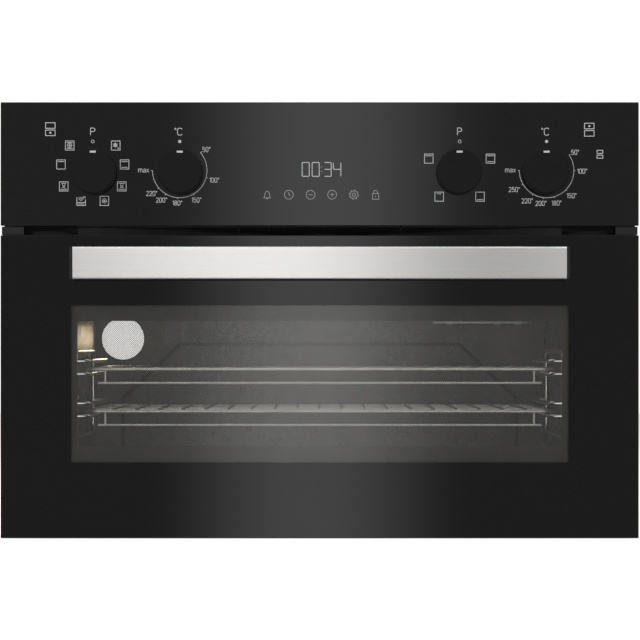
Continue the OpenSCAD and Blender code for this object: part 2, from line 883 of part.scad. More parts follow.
// Tray behind the panel glass that carries the switches
module panel_bracket() {
    wall = 1.5;
    half_w = 290;
    low = panel_z + 2;
    high = panel_top - 2.5;
    color([0.1, 0.1, 0.1]) difference() {
        block([-half_w, glass_back_y, low], [half_w, frame_y, high]);
        block([-half_w + wall, glass_back_y - 1, low + wall],
            [half_w - wall, frame_y - wall, high - wall]);
        for (x = knob_xs) rod_y(frame_y - 3, frame_y + 1, x, knob_z, neck_r + 0.2);
        block([-timer_w / 2 - 2, frame_y - 3, timer_z[0] - 2],
            [timer_w / 2 + 2, frame_y + 1, timer_z[1] + 2]);
    }
}

// Clock and touch key board behind the middle of the glass
module timer_module() {
    half_w = timer_w / 2;
    low = timer_z[0];
    high = timer_z[1];
    wall = 2;
    display = [24, 10];
    color([0.15, 0.15, 0.15]) difference() {
        block([-half_w, glass_back_y + 0.2, low], [half_w, body_y + 12, high]);
        block([-display.x, glass_back_y - 1, knob_z - display.y],
            [display.x, glass_back_y + 3, knob_z + display.y]);
        block([-half_w + wall, body_y - 8, low + wall], [half_w - wall, body_y + 12 - wall, high - wall]);
    }
}

// Body of a switch or thermostat at x, with the neck that its spindle turns in
module control_body(x, body_r, depth) {
    front = frame_y + 0.2;
    difference() {
        union() {
            rod_y(front, front + depth, x, knob_z, body_r);
            rod_y(frame_y - 9, front + 1, x, knob_z, neck_r);
            block([x - 9, front + depth - 2, knob_z - 14], [x + 9, front + depth + 6, knob_z + 14]);
        }
        rod_y(frame_y - 10, front + 21, x, knob_z, spindle_r + running);
    }
}

module function_switches() {
    color([0.85, 0.83, 0.78]) for (x = [knob_xs[0], knob_xs[2]]) control_body(x, 20, 30);
}

module thermostats() {
    color([0.8, 0.8, 0.8]) for (x = [knob_xs[1], knob_xs[3]]) control_body(x, 18, 24);
}

module spindle(x) {
    color([0.7, 0.7, 0.7]) rod_y(glass_y - 14, frame_y + 20, x, knob_z, spindle_r);
}

// Round knob, hollow behind, with a shallow recess for its pointer
module knob(x) {
    wall = 2.5;
    edge = 1.2;
    clear = 0.8;
    boss_r = 6.5;
    socket = 13.2;
    rise = knob_reach - clear;
    r = knob_d / 2;
    pointer = [5.6, 1.9];
    pointer_z = 17.9;
    pointer_depth = 0.4;
    color([0.07, 0.07, 0.07]) translate([x, glass_y - clear, knob_z]) difference() {
        rotate([90, 0, 0]) rotate_extrude() difference() {
            union() {
                square([r - edge, rise]);
                square([r, rise - edge]);
                translate([r - edge, rise - edge]) intersection() {
                    circle(edge);
                    square(edge);
                }
            }
            translate([boss_r, -1]) square([r - wall - boss_r, rise - wall + 1]);
            translate([-1, -1]) square([spindle_r + 1, socket + 1]);
        }
        translate([-pointer.x / 2, -rise - 1, pointer_z - pointer.y / 2])
            cube([pointer.x, pointer_depth + 1, pointer.y]);
    }
}

module function_knob_left() {
    knob(knob_xs[0]);
}

module temperature_knob_left() {
    knob(knob_xs[1]);
}

module function_knob_right() {
    knob(knob_xs[2]);
}

module temperature_knob_right() {
    knob(knob_xs[3]);
}

module function_spindle_left() {
    spindle(knob_xs[0]);
}

module temperature_spindle_left() {
    spindle(knob_xs[1]);
}

module function_spindle_right() {
    spindle(knob_xs[2]);
}

module temperature_spindle_right() {
    spindle(knob_xs[3]);
}

door_outer_glass();
door_inner_glass();
door_top_profile();
door_side_profile_left();
door_side_profile_right();
door_bottom_profile();
inner_glass_clips();
handle_bar();
handle_supports();
handle_screws();
hinge_channels();
hinge_pins();
hinge_springs();
hinge_arms();
hinge_receivers();
front_frame();
door_seal();
cavity_liner();
cavity_back();
side_panel_left();
side_panel_right();
top_cover();
rear_cover();
base_panel();
insulation_blanket();
heat_shield_tray();
air_duct();
fan_housing();
fan_rotor();
fan_motor();
vent_trim();
grill_element();
base_element();
lamp_holder();
lamp_bulb();
lamp_lens();
thermostat_probe();
probe_clips();
shelf_ladder_left();
shelf_ladder_right();
wire_shelf_upper();
wire_shelf_lower();
shelf_rail_upper();
shelf_rail_lower();
control_panel_glass();
panel_bracket();
timer_module();
function_switches();
thermostats();
function_knob_left();
temperature_knob_left();
function_knob_right();
temperature_knob_right();
function_spindle_left();
temperature_spindle_left();
function_spindle_right();
temperature_spindle_right();
terminal_block();
cable_gland();
casing_screws();
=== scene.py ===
"""Looks of a built-in oven module: black glass front, steel bar handle, lit cavity behind a dotted window."""
import json
import math

import bmesh
import bpy
from mathutils import Matrix, Vector

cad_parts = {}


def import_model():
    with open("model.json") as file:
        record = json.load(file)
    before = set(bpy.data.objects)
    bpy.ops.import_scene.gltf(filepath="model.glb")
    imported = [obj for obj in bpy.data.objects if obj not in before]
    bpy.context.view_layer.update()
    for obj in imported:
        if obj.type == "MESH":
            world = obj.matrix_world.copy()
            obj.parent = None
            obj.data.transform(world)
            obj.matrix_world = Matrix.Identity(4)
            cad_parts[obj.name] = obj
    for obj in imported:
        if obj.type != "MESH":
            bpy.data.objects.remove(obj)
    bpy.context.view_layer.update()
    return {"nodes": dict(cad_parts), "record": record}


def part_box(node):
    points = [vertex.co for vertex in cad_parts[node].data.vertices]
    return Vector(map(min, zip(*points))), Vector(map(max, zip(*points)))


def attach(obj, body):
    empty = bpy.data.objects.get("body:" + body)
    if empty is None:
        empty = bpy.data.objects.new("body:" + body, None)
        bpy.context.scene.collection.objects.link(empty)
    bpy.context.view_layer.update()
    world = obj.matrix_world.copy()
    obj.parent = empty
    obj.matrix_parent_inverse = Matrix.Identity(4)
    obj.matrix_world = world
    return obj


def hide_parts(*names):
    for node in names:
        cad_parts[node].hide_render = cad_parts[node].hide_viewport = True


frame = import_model()

MM = 0.001

# ---------- places taken from the frame ----------

DOOR_LO, DOOR_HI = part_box("door_outer_glass")
INNER_LO, INNER_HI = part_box("door_inner_glass")
PANEL_LO, PANEL_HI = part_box("control_panel_glass")
LINER_LO, LINER_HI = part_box("cavity_liner")
LENS_LO, LENS_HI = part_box("lamp_lens")
GLASS_Y = DOOR_LO.y
GLASS_BACK_Y = DOOR_HI.y
PRINT_Y = GLASS_Y - 0.03 * MM
DOT_Y = GLASS_BACK_Y + 0.05 * MM
PANE_EDGE = 0.7 * MM

# Window in the door: the dotted field on the outer pane and the clear field of the inner pane
DOTS_HALF_W = 232 * MM
DOTS_LOW, DOTS_HIGH = 70.6 * MM, 217.3 * MM
CLEAR_HALF_W = 227 * MM
CLEAR_LOW, CLEAR_HIGH = 85.6 * MM, 202.9 * MM


def knob_centre(side, kind):
    lo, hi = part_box(f"{kind}_knob_{side}")
    return (lo + hi) / 2


def knob_front_y():
    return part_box("function_knob_left")[0].y


# ---------- materials ----------

class Look:
    """A node material with its Principled shader, and short ways to add procedural detail."""

    def __init__(self, name, colour, rough, metal=0.0):
        self.mat = bpy.data.materials.new(name)
        self.mat.use_nodes = True
        self.tree = self.mat.node_tree
        self.shader = self.tree.nodes["Principled BSDF"]
        self.set("Base Color", (*colour, 1))
        self.set("Roughness", rough)
        self.set("Metallic", metal)

    def set(self, socket, value):
        self.shader.inputs[socket].default_value = value

    def node(self, kind, **values):
        made = self.tree.nodes.new(kind)
        for key, value in values.items():
            setattr(made, key, value)
        return made

    def link(self, a, b):
        self.tree.links.new(a, b)

    def place(self, stretch=(1, 1, 1)):
        """Object coordinates, which are the row's own metres, scaled per axis."""
        coords = self.node("ShaderNodeTexCoord")
        mapping = self.node("ShaderNodeMapping")
        mapping.inputs["Scale"].default_value = stretch
        self.link(coords.outputs["Object"], mapping.inputs["Vector"])
        return mapping.outputs["Vector"]

    def noise(self, scale, detail=4.0, stretch=(1, 1, 1), roughness=0.55):
        made = self.node("ShaderNodeTexNoise")
        made.inputs["Scale"].default_value = scale
        made.inputs["Detail"].default_value = detail
        made.inputs["Roughness"].default_value = roughness
        self.link(self.place(stretch), made.inputs["Vector"])
        return made.outputs["Fac"]

    def cells(self, scale):
        made = self.node("ShaderNodeTexVoronoi")
        made.inputs["Scale"].default_value = scale
        self.link(self.place(), made.inputs["Vector"])
        return made.outputs

    def ramp(self, value, low, high, at=(0.35, 0.65)):
        made = self.node("ShaderNodeValToRGB")
        made.color_ramp.elements[0].position, made.color_ramp.elements[1].position = at
        made.color_ramp.elements[0].color = (*low, 1)
        made.color_ramp.elements[1].color = (*high, 1)
        self.link(value, made.inputs["Fac"])
        return made.outputs["Color"]

    def vary_colour(self, value, low, high, at=(0.35, 0.65)):
        self.link(self.ramp(value, low, high, at), self.shader.inputs["Base Color"])
        return self

    def vary_rough(self, value, low, high, at=(0.3, 0.7)):
        made = self.node("ShaderNodeMapRange")
        made.inputs["From Min"].default_value, made.inputs["From Max"].default_value = at
        made.inputs["To Min"].default_value, made.inputs["To Max"].default_value = low, high
        self.link(value, made.inputs["Value"])
        self.link(made.outputs["Result"], self.shader.inputs["Roughness"])
        return self

    def bump(self, value, height_mm, strength=1.0):
        made = self.node("ShaderNodeBump")
        made.inputs["Distance"].default_value = height_mm * MM
        made.inputs["Strength"].default_value = strength
        self.link(value, made.inputs["Height"])
        self.link(made.outputs["Normal"], self.shader.inputs["Normal"])
        return self


def grey(value):
    return (value, value, value)


def black_glass():
    """Clear float glass with a black print behind it."""
    look = Look("black_glass", grey(0.001), 0.03)
    look.set("IOR", 1.5)
    return look.vary_rough(look.noise(22, 3), 0.015, 0.035).mat


def glass_edge():
    look = Look("glass_edge", (0.006, 0.008, 0.0075), 0.4)
    look.set("Specular IOR Level", 0.25)
    return look.vary_rough(look.noise(300, 3), 0.34, 0.5).bump(look.noise(900, 2), 0.02).mat


def clear_glass():
    """A clear pane: what is behind it shows, and it mirrors by the glass's own Fresnel."""
    look = Look("clear_glass", grey(1.0), 0.02)
    nodes = look.tree.nodes
    nodes.remove(look.shader)
    through = look.node("ShaderNodeBsdfTransparent")
    through.inputs["Color"].default_value = (0.94, 0.936, 0.922, 1)
    mirror = look.node("ShaderNodeBsdfGlossy")
    mirror.inputs["Roughness"].default_value = 0.02
    fresnel = look.node("ShaderNodeFresnel")
    fresnel.inputs["IOR"].default_value = 1.5
    mix = look.node("ShaderNodeMixShader")
    look.link(fresnel.outputs["Fac"], mix.inputs["Fac"])
    look.link(through.outputs["BSDF"], mix.inputs[1])
    look.link(mirror.outputs["BSDF"], mix.inputs[2])
    look.link(mix.outputs["Shader"], nodes["Material Output"].inputs["Surface"])
    return look.mat


def dot_ink():
    look = Look("dot_ink", grey(0.10), 0.42)
    return look.vary_colour(look.noise(40, 2), grey(0.09), grey(0.11)).mat


def border_ink():
    """Dark grey print round the clear field of the inner pane."""
    look = Look("border_ink", grey(0.055), 0.04)
    return look.vary_colour(look.noise(30, 3), grey(0.05), grey(0.06)).mat


def white_ink():
    look = Look("white_ink", grey(0.30), 0.6)
    # Painted glow: the white print is given a faint emission of its own, though it is no lamp
    look.set("Emission Color", (1, 1, 1, 1))
    look.set("Emission Strength", 0.04)
    return look.vary_colour(look.noise(900, 3), grey(0.27), grey(0.33)).mat


def touch_ink():
    """Dimmer print of the touch keys, with a faint painted glow: an emission of its own, though it is no
    lamp.
    """
    look = Look("touch_ink", grey(0.17), 0.6)
    # Painted glow on the print
    look.set("Emission Color", (1, 1, 1, 1))
    look.set("Emission Strength", 0.03)
    return look.vary_colour(look.noise(900, 3), grey(0.15), grey(0.19)).mat


def display_light():
    look = Look("display_light", grey(0.15), 0.5)
    look.set("Emission Color", (0.93, 0.97, 1.0, 1))
    look.set("Emission Strength", 0.26)
    return look.vary_rough(look.noise(600), 0.4, 0.6).mat


def brushed_handle():
    """Brushed along its length: the tiny grooves spread every reflection up and down."""
    look = Look("brushed_handle", (0.66, 0.655, 0.645), 0.28, 1.0)
    lines = look.noise(260, 6, (0.035, 1, 14), 0.7)
    look.vary_colour(lines, (0.642, 0.637, 0.626), (0.688, 0.683, 0.674))
    look.vary_rough(lines, 0.27, 0.29)
    across = look.node("ShaderNodeCombineXYZ")
    across.inputs["Z"].default_value = 1
    turned = look.node("ShaderNodeVectorTransform", vector_type="VECTOR",
                       convert_from="OBJECT", convert_to="WORLD")
    look.link(across.outputs["Vector"], turned.inputs["Vector"])
    look.link(turned.outputs["Vector"], look.shader.inputs["Tangent"])
    look.set("Anisotropic", 0.95)
    return look.mat


def black_plastic():
    look = Look("black_plastic", grey(0.010), 0.5)
    look.set("Specular IOR Level", 0.2)
    grain = look.noise(1600, 5)
    look.vary_rough(look.noise(60, 3), 0.44, 0.6)
    look.vary_colour(look.noise(35, 3), grey(0.0085), grey(0.012))
    return look.bump(grain, 0.02, 0.5).mat


def knob_black():
    """Satin moulding with painted shade and light: the colour darkens in a ring where the front edge rounds
    over, and is painted paler on the sides.
    """
    face_tone, shade_ring_tone, lit_side_tone = 0.0065, 0.0042, 0.022
    look = Look("knob_black", grey(face_tone), 0.55)
    look.set("Specular IOR Level", 0.06)
    # Colour by facing: painted shade in the ring round the front edge, painted light on the sides
    coords = look.node("ShaderNodeTexCoord")
    split = look.node("ShaderNodeSeparateXYZ")
    facing = look.node("ShaderNodeMath", operation="ABSOLUTE")
    look.link(coords.outputs["Normal"], split.inputs["Vector"])
    look.link(split.outputs["Y"], facing.inputs[0])
    look.vary_colour(facing.outputs["Value"], grey(shade_ring_tone), grey(face_tone), (0.93, 0.99))
    zones = look.shader.inputs["Base Color"].links[0].from_node.color_ramp
    zones.elements.new(0.25).color = (*grey(lit_side_tone), 1)
    zones.elements.new(0.45).color = (*grey(shade_ring_tone), 1)
    look.vary_rough(look.noise(60, 3), 0.5, 0.62)
    return look.bump(look.noise(1600, 5), 0.01, 0.4).mat


def black_paint():
    look = Look("black_paint", grey(0.02), 0.4)
    look.vary_rough(look.noise(45, 4), 0.33, 0.5)
    look.vary_colour(look.noise(30, 3), grey(0.016), grey(0.026))
    return look.bump(look.noise(420, 4), 0.02, 0.5).mat


def galvanised():
    """Zinc-coated sheet with a soft spangle."""
    look = Look("galvanised_steel", grey(0.45), 0.46, 0.5)
    spangle = look.cells(150)
    look.vary_colour(spangle["Color"], (0.42, 0.425, 0.43), (0.475, 0.48, 0.485), (0.1, 0.9))
    look.vary_rough(look.noise(70, 5), 0.42, 0.52)
    return look.bump(look.noise(160, 5), 0.02, 0.3).mat


def zinc_steel():
    look = Look("zinc_steel", (0.62, 0.62, 0.61), 0.3, 1.0)
    look.vary_colour(look.noise(240, 4), (0.52, 0.52, 0.50), (0.70, 0.70, 0.69))
    return look.vary_rough(look.noise(500, 4), 0.22, 0.42).mat


def spring_steel():
    look = Look("spring_steel", grey(0.2), 0.35, 1.0)
    look.vary_colour(look.noise(300, 3), grey(0.14), grey(0.27))
    return look.vary_rough(look.noise(420, 4), 0.25, 0.45).mat


def enamel(name="grey_enamel", tone=0.05, shine=0.4):
    """Vitreous enamel: dark ground, fine paler specks and a slightly wavy gloss."""
    look = Look(name, grey(tone), 0.3)
    look.set("Specular IOR Level", shine)
    specks = look.cells(900)
    look.vary_colour(specks["Distance"], grey(tone * 2.4), grey(tone), (0.10, 0.22))
    look.vary_rough(look.noise(80, 3), 0.22, 0.42)
    return look.bump(look.noise(130, 3), 0.06, 0.4).mat


def rubber():
    look = Look("seal_rubber", grey(0.05), 0.6)
    look.vary_colour(look.noise(90, 4), grey(0.04), grey(0.065))
    return look.bump(look.noise(700, 4), 0.03, 0.6).mat


def mineral_wool():
    look = Look("mineral_wool", (0.5, 0.45, 0.26), 0.95)
    fibres = look.noise(240, 8, (1, 0.25, 1), 0.75)
    look.vary_colour(fibres, (0.36, 0.32, 0.17), (0.66, 0.60, 0.40))
    look.set("Sheen Weight", 0.2)
    return look.bump(fibres, 0.8, 0.9).mat


def aluminium():
    look = Look("fan_aluminium", grey(0.62), 0.35, 1.0)
    look.vary_colour(look.noise(180, 4), grey(0.55), grey(0.68))
    return look.vary_rough(look.noise(300, 5), 0.28, 0.48).mat


def laminated_steel():
    look = Look("motor_steel", grey(0.28), 0.45, 0.7)
    sheets = look.noise(900, 2, (0.02, 0.02, 1))
    look.vary_colour(sheets, grey(0.2), grey(0.36))
    return look.bump(sheets, 0.08, 0.8).mat


def heater_steel():
    look = Look("heater_steel", (0.19, 0.18, 0.17), 0.5, 0.8)
    look.vary_colour(look.noise(60, 5), (0.11, 0.10, 0.09), (0.25, 0.235, 0.22))
    return look.vary_rough(look.noise(400, 4), 0.4, 0.62).mat


def ceramic():
    look = Look("ceramic_white", (0.78, 0.76, 0.70), 0.6)
    look.vary_colour(look.noise(150, 4), (0.70, 0.68, 0.62), (0.82, 0.80, 0.75))
    return look.bump(look.noise(800, 4), 0.03, 0.5).mat


def lamp_glow():
    look = Look("lamp_glow", (1.0, 0.93, 0.8), 0.4)
    look.set("Emission Color", (1.0, 0.88, 0.68, 1))
    look.set("Emission Strength", 8.0)
    return look.vary_rough(look.noise(200), 0.3, 0.5).mat


def lens_glass():
    """Frosted lamp cover, lit from behind."""
    look = Look("lens_glass", (0.10, 0.10, 0.098), 0.35)
    look.set("Specular IOR Level", 0.2)
    look.set("Emission Color", (0.93, 0.95, 1.0, 1))
    look.set("Emission Strength", 1.25)
    return look.vary_rough(look.noise(260, 3), 0.3, 0.5).bump(look.noise(300, 2), 0.05, 0.5).mat


def probe_steel():
    look = Look("probe_steel", (0.80, 0.79, 0.76), 0.42, 0.6)
    look.vary_colour(look.noise(400, 3, (0.2, 1, 1)), (0.74, 0.73, 0.70), (0.88, 0.87, 0.84))
    return look.vary_rough(look.noise(500, 3), 0.36, 0.5).mat


def chrome_wire():
    look = Look("chrome_wire", (0.76, 0.755, 0.74), 0.42, 0.85)
    look.vary_colour(look.noise(160, 4), (0.70, 0.69, 0.67), (0.84, 0.835, 0.82))
    return look.vary_rough(look.noise(350, 4), 0.36, 0.5).mat


def polished_wire():
    look = Look("polished_wire", (0.80, 0.795, 0.785), 0.16, 1.0)
    look.vary_colour(look.noise(160, 4), (0.72, 0.715, 0.70), (0.88, 0.875, 0.865))
    return look.vary_rough(look.noise(350, 4), 0.1, 0.24).mat


def switch_plastic():
    look = Look("switch_plastic", (0.72, 0.70, 0.64), 0.5)
    look.vary_colour(look.noise(60, 3), (0.66, 0.64, 0.58), (0.76, 0.74, 0.68))
    return look.bump(look.noise(900, 4), 0.02, 0.5).mat


LOOKS = {
    "black_glass": black_glass(), "clear_glass": clear_glass(), "black_paint": black_paint(),
    "black_plastic": black_plastic(), "knob_black": knob_black(),
    "brushed_handle": brushed_handle(), "galvanised_steel": galvanised(), "zinc_steel": zinc_steel(),
    "spring_steel": spring_steel(), "black_enamel": enamel("black_enamel", 0.008, 0.2),
    "grey_enamel": enamel(), "seal_rubber": rubber(), "mineral_wool": mineral_wool(),
    "fan_aluminium": aluminium(), "motor_steel": laminated_steel(), "heater_steel": heater_steel(),
    "ceramic_white": ceramic(), "lamp_glow": lamp_glow(), "lens_glass": lens_glass(),
    "probe_steel": probe_steel(), "chrome_wire": chrome_wire(), "switch_plastic": switch_plastic(),
}
EDGE = glass_edge()
DOT_INK = dot_ink()
BORDER_INK = border_ink()
POLISHED_WIRE = polished_wire()
WHITE_INK = white_ink()
DISPLAY = display_light()
TOUCH_INK = touch_ink()

for entry in frame["record"]["subparts"]:
    cad = frame["nodes"][entry["node"]]
    for place in cad.material_slots:
        place.material = LOOKS[entry["material_slot"]]
for ladder in ("shelf_ladder_left", "shelf_ladder_right"):
    for place in frame["nodes"][ladder].material_slots:
        place.material = POLISHED_WIRE
# The lens glows to the eye, but lights no wall and shows in no reflection, and the bulb shows in none:
# what the lamp throws on the walls comes from the lights below
frame["nodes"]["lamp_lens"].visible_diffuse = False
for shining in ("lamp_lens", "lamp_bulb"):
    frame["nodes"][shining].visible_glossy = False


# ---------- mesh helpers ----------

def piece(name, mesh_or_bm, body, slot, *materials):
    """A new object that rides on a body and takes the materials given; the slot is not used."""
    if isinstance(mesh_or_bm, bmesh.types.BMesh):
        mesh = bpy.data.meshes.new(name)
        mesh_or_bm.to_mesh(mesh)
        mesh_or_bm.free()
    else:
        mesh = mesh_or_bm
    made = bpy.data.objects.new(name, mesh)
    bpy.context.scene.collection.objects.link(made)
    for mat in materials:
        mesh.materials.append(mat)
    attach(made, body)
    return made


def smooth(made, angle=35):
    mesh = made.data
    for face in mesh.polygons:
        face.use_smooth = True
    mesh.set_sharp_from_angle(angle=math.radians(angle))
    return made


def tube(bm, points, radius, sides=8):
    """Sweeps a round section along points, with flat caps."""
    rings = []
    up = Vector((0.3, 0.2, 0.93)).normalized()
    for i, point in enumerate(points):
        ahead = points[min(i + 1, len(points) - 1)] - points[max(i - 1, 0)]
        ahead.normalize()
        across = ahead.cross(up).normalized()
        lift = across.cross(ahead)
        ring = []
        for k in range(sides):
            a = 2 * math.pi * k / sides
            ring.append(bm.verts.new(point + (across * math.cos(a) + lift * math.sin(a)) * radius))
        rings.append(ring)
    for a, b in zip(rings, rings[1:]):
        for k in range(sides):
            bm.faces.new((a[k], a[(k + 1) % sides], b[(k + 1) % sides], b[k]))
    bm.faces.new(reversed(rings[0]))
    bm.faces.new(rings[-1])


def bevelled_box(bm, lo, hi, edge):
    size = Vector(hi) - Vector(lo)
    centre = (Vector(hi) + Vector(lo)) / 2
    made = bmesh.ops.create_cube(bm, size=1, matrix=Matrix.Translation(centre) @ Matrix.Diagonal((*size, 1)))
    edges = {e for v in made["verts"] for e in v.link_edges}
    bmesh.ops.bevel(bm, geom=list(edges), offset=edge, segments=2, profile=0.5, affect="EDGES")


# ---------- glass panes ----------

def pane(name, lo, hi, body, slot, replaced, window=None, holes=(), face_mat=None):
    """A ground-edged pane of black-printed glass, with an optional clear window and drilled holes."""
    bm = bmesh.new()
    bevelled_box(bm, lo, hi, PANE_EDGE)
    if window:
        (x0, z0), (x1, z1) = window
        cuts = [((x, 0, 0), (1, 0, 0)) for x in (x0, x1)]
        cuts += [((0, 0, z), (0, 0, 1)) for z in (z0, z1)]
        for point, normal in cuts:
            bmesh.ops.bisect_plane(bm, geom=bm.verts[:] + bm.edges[:] + bm.faces[:],
                                   plane_co=point, plane_no=normal, dist=1e-7)
    made = piece(name, bm, body, slot, face_mat or LOOKS["black_glass"], EDGE, LOOKS["clear_glass"])
    for face in made.data.polygons:
        flat = abs(face.normal.y) > 0.99
        c = face.center
        face.material_index = 0 if flat else 1
        if window and flat and x0 < c.x < x1 and z0 < c.z < z1:
            face.material_index = 2
    if holes:
        drill(made, holes)
    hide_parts(replaced)
    return made


def drill(made, holes):
    """Cuts round holes along Y with a boolean, applied to the mesh."""
    length = 20 * MM
    bm = bmesh.new()
    for x, z, radius in holes:
        turn = Matrix.Translation((x, (GLASS_Y + GLASS_BACK_Y) / 2, z)) @ Matrix.Rotation(math.pi / 2, 4, "X")
        bmesh.ops.create_cone(bm, cap_ends=True, segments=32, radius1=radius, radius2=radius,
                              depth=length, matrix=turn)
    mesh = bpy.data.meshes.new("drill_cutter")
    bm.to_mesh(mesh)
    bm.free()
    cutter = bpy.data.objects.new("drill_cutter", mesh)
    bpy.context.scene.collection.objects.link(cutter)
    cut = made.modifiers.new("holes", "BOOLEAN")
    cut.operation = "DIFFERENCE"
    cut.solver = "EXACT"
    cut.object = cutter
    graph = bpy.context.evaluated_depsgraph_get()
    solid = bpy.data.meshes.new_from_object(made.evaluated_get(graph))
    made.modifiers.clear()
    made.data = solid
    bpy.data.objects.remove(cutter)
    bpy.data.meshes.remove(mesh)


HEAD_R = 4.5 * MM
SCREW_HOLE_R = 3 * MM
SPINDLE_HOLE_R = 7 * MM
SCREWS_LO, SCREWS_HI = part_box("handle_screws")
SCREW_X = SCREWS_HI.x - HEAD_R
SCREW_ZS = (SCREWS_LO.z + HEAD_R, SCREWS_HI.z - HEAD_R)
KNOBS = [(kind, side, knob_centre(side, kind)) for side in ("left", "right")
         for kind in ("function", "temperature")]

pane("door_pane", DOOR_LO, DOOR_HI, "door", "black_glass", "door_outer_glass",
     window=((-DOTS_HALF_W, DOTS_LOW), (DOTS_HALF_W, DOTS_HIGH)),
     holes=[(x, z, SCREW_HOLE_R) for x in (-SCREW_X, SCREW_X) for z in SCREW_ZS])
pane("inner_pane", INNER_LO, INNER_HI, "door", "clear_glass", "door_inner_glass",
     window=((-CLEAR_HALF_W, CLEAR_LOW), (CLEAR_HALF_W, CLEAR_HIGH)), face_mat=BORDER_INK)
pane("panel_pane", PANEL_LO, PANEL_HI, "root", "black_glass", "control_panel_glass",
     holes=[(c.x, c.z, SPINDLE_HOLE_R) for _, _, c in KNOBS])


def window_dots():
    """The dotted print of the door window, on the back of the outer pane."""
    pitch = 2.0 * MM
    radius = 0.52 * MM
    sides = 6
    verts, faces = [], []
    rows = int((DOTS_HIGH - DOTS_LOW) / (pitch / 2)) - 1
    columns = int(2 * DOTS_HALF_W / pitch) - 1
    for row in range(rows):
        z = DOTS_LOW + (row + 1) * pitch / 2
        shift = pitch / 2 if row % 2 else 0
        for column in range(columns):
            x = -DOTS_HALF_W + (column + 0.75) * pitch + shift
            first = len(verts)
            for k in range(sides):
                a = 2 * math.pi * k / sides
                verts.append((x + radius * math.cos(a), DOT_Y, z + radius * math.sin(a)))
            faces.append([first + k for k in range(sides)])
    mesh = bpy.data.meshes.new("window_dots")
    mesh.from_pydata(verts, [], faces)
    return piece("window_dots", mesh, "door", "black_glass", DOT_INK)


window_dots()


# ---------- prints ----------

# Plain stroke lettering: polylines on a cap height of 1; a closed shape repeats its first point
GLYPHS = {
    "0": [[(0.12, 0), (0.38, 0), (0.5, 0.14), (0.5, 0.86), (0.38, 1), (0.12, 1), (0, 0.86), (0, 0.14),
           (0.12, 0)]],
    "1": [[(0.02, 0.8), (0.24, 1), (0.24, 0)]],
    "2": [[(0, 0.82), (0.08, 0.95), (0.25, 1), (0.42, 0.95), (0.5, 0.82), (0.5, 0.68), (0.42, 0.52), (0, 0),
           (0.5, 0)]],
    "5": [[(0.46, 1), (0.05, 1), (0.02, 0.55), (0.15, 0.62), (0.31, 0.62), (0.45, 0.53), (0.5, 0.38),
           (0.5, 0.2), (0.42, 0.05), (0.25, 0), (0.08, 0.04), (0, 0.15)]],
    "8": [[(0.25, 0.54), (0.08, 0.62), (0.04, 0.77), (0.1, 0.93), (0.25, 1), (0.4, 0.93), (0.46, 0.77),
           (0.42, 0.62), (0.25, 0.54)],
          [(0.25, 0.54), (0.42, 0.47), (0.5, 0.28), (0.44, 0.07), (0.25, 0), (0.06, 0.07), (0, 0.28),
           (0.08, 0.47), (0.25, 0.54)]],
    "o": [[(0.12, 1.0), (0.2, 0.96), (0.23, 0.89), (0.2, 0.81), (0.12, 0.78), (0.04, 0.81), (0.0, 0.89),
           (0.04, 0.96), (0.12, 1.0)]],
    "P": [[(0, 0), (0, 1), (0.4, 1), (0.55, 0.94), (0.62, 0.76), (0.55, 0.58), (0.4, 0.5), (0, 0.5)]],
    "C": [[(0.66, 0.84), (0.55, 0.96), (0.36, 1), (0.14, 0.95), (0.02, 0.78), (0, 0.5), (0.02, 0.22),
           (0.14, 0.05), (0.36, 0), (0.55, 0.04), (0.66, 0.16)]],
    "m": [[(0, 0), (0, 0.7)], [(0, 0.52), (0.1, 0.66), (0.22, 0.7), (0.34, 0.64), (0.38, 0.5), (0.38, 0)],
          [(0.38, 0.52), (0.48, 0.66), (0.6, 0.7), (0.72, 0.64), (0.76, 0.5), (0.76, 0)]],
    "a": [[(0.04, 0.6), (0.16, 0.69), (0.3, 0.7), (0.42, 0.62), (0.45, 0.48), (0.45, 0)],
          [(0.45, 0.4), (0.2, 0.39), (0.06, 0.32), (0, 0.2), (0.06, 0.06), (0.18, 0), (0.32, 0.04),
           (0.45, 0.16)]],
    "x": [[(0, 0), (0.46, 0.7)], [(0, 0.7), (0.46, 0)]],
}
LETTER_GAP = 0.21


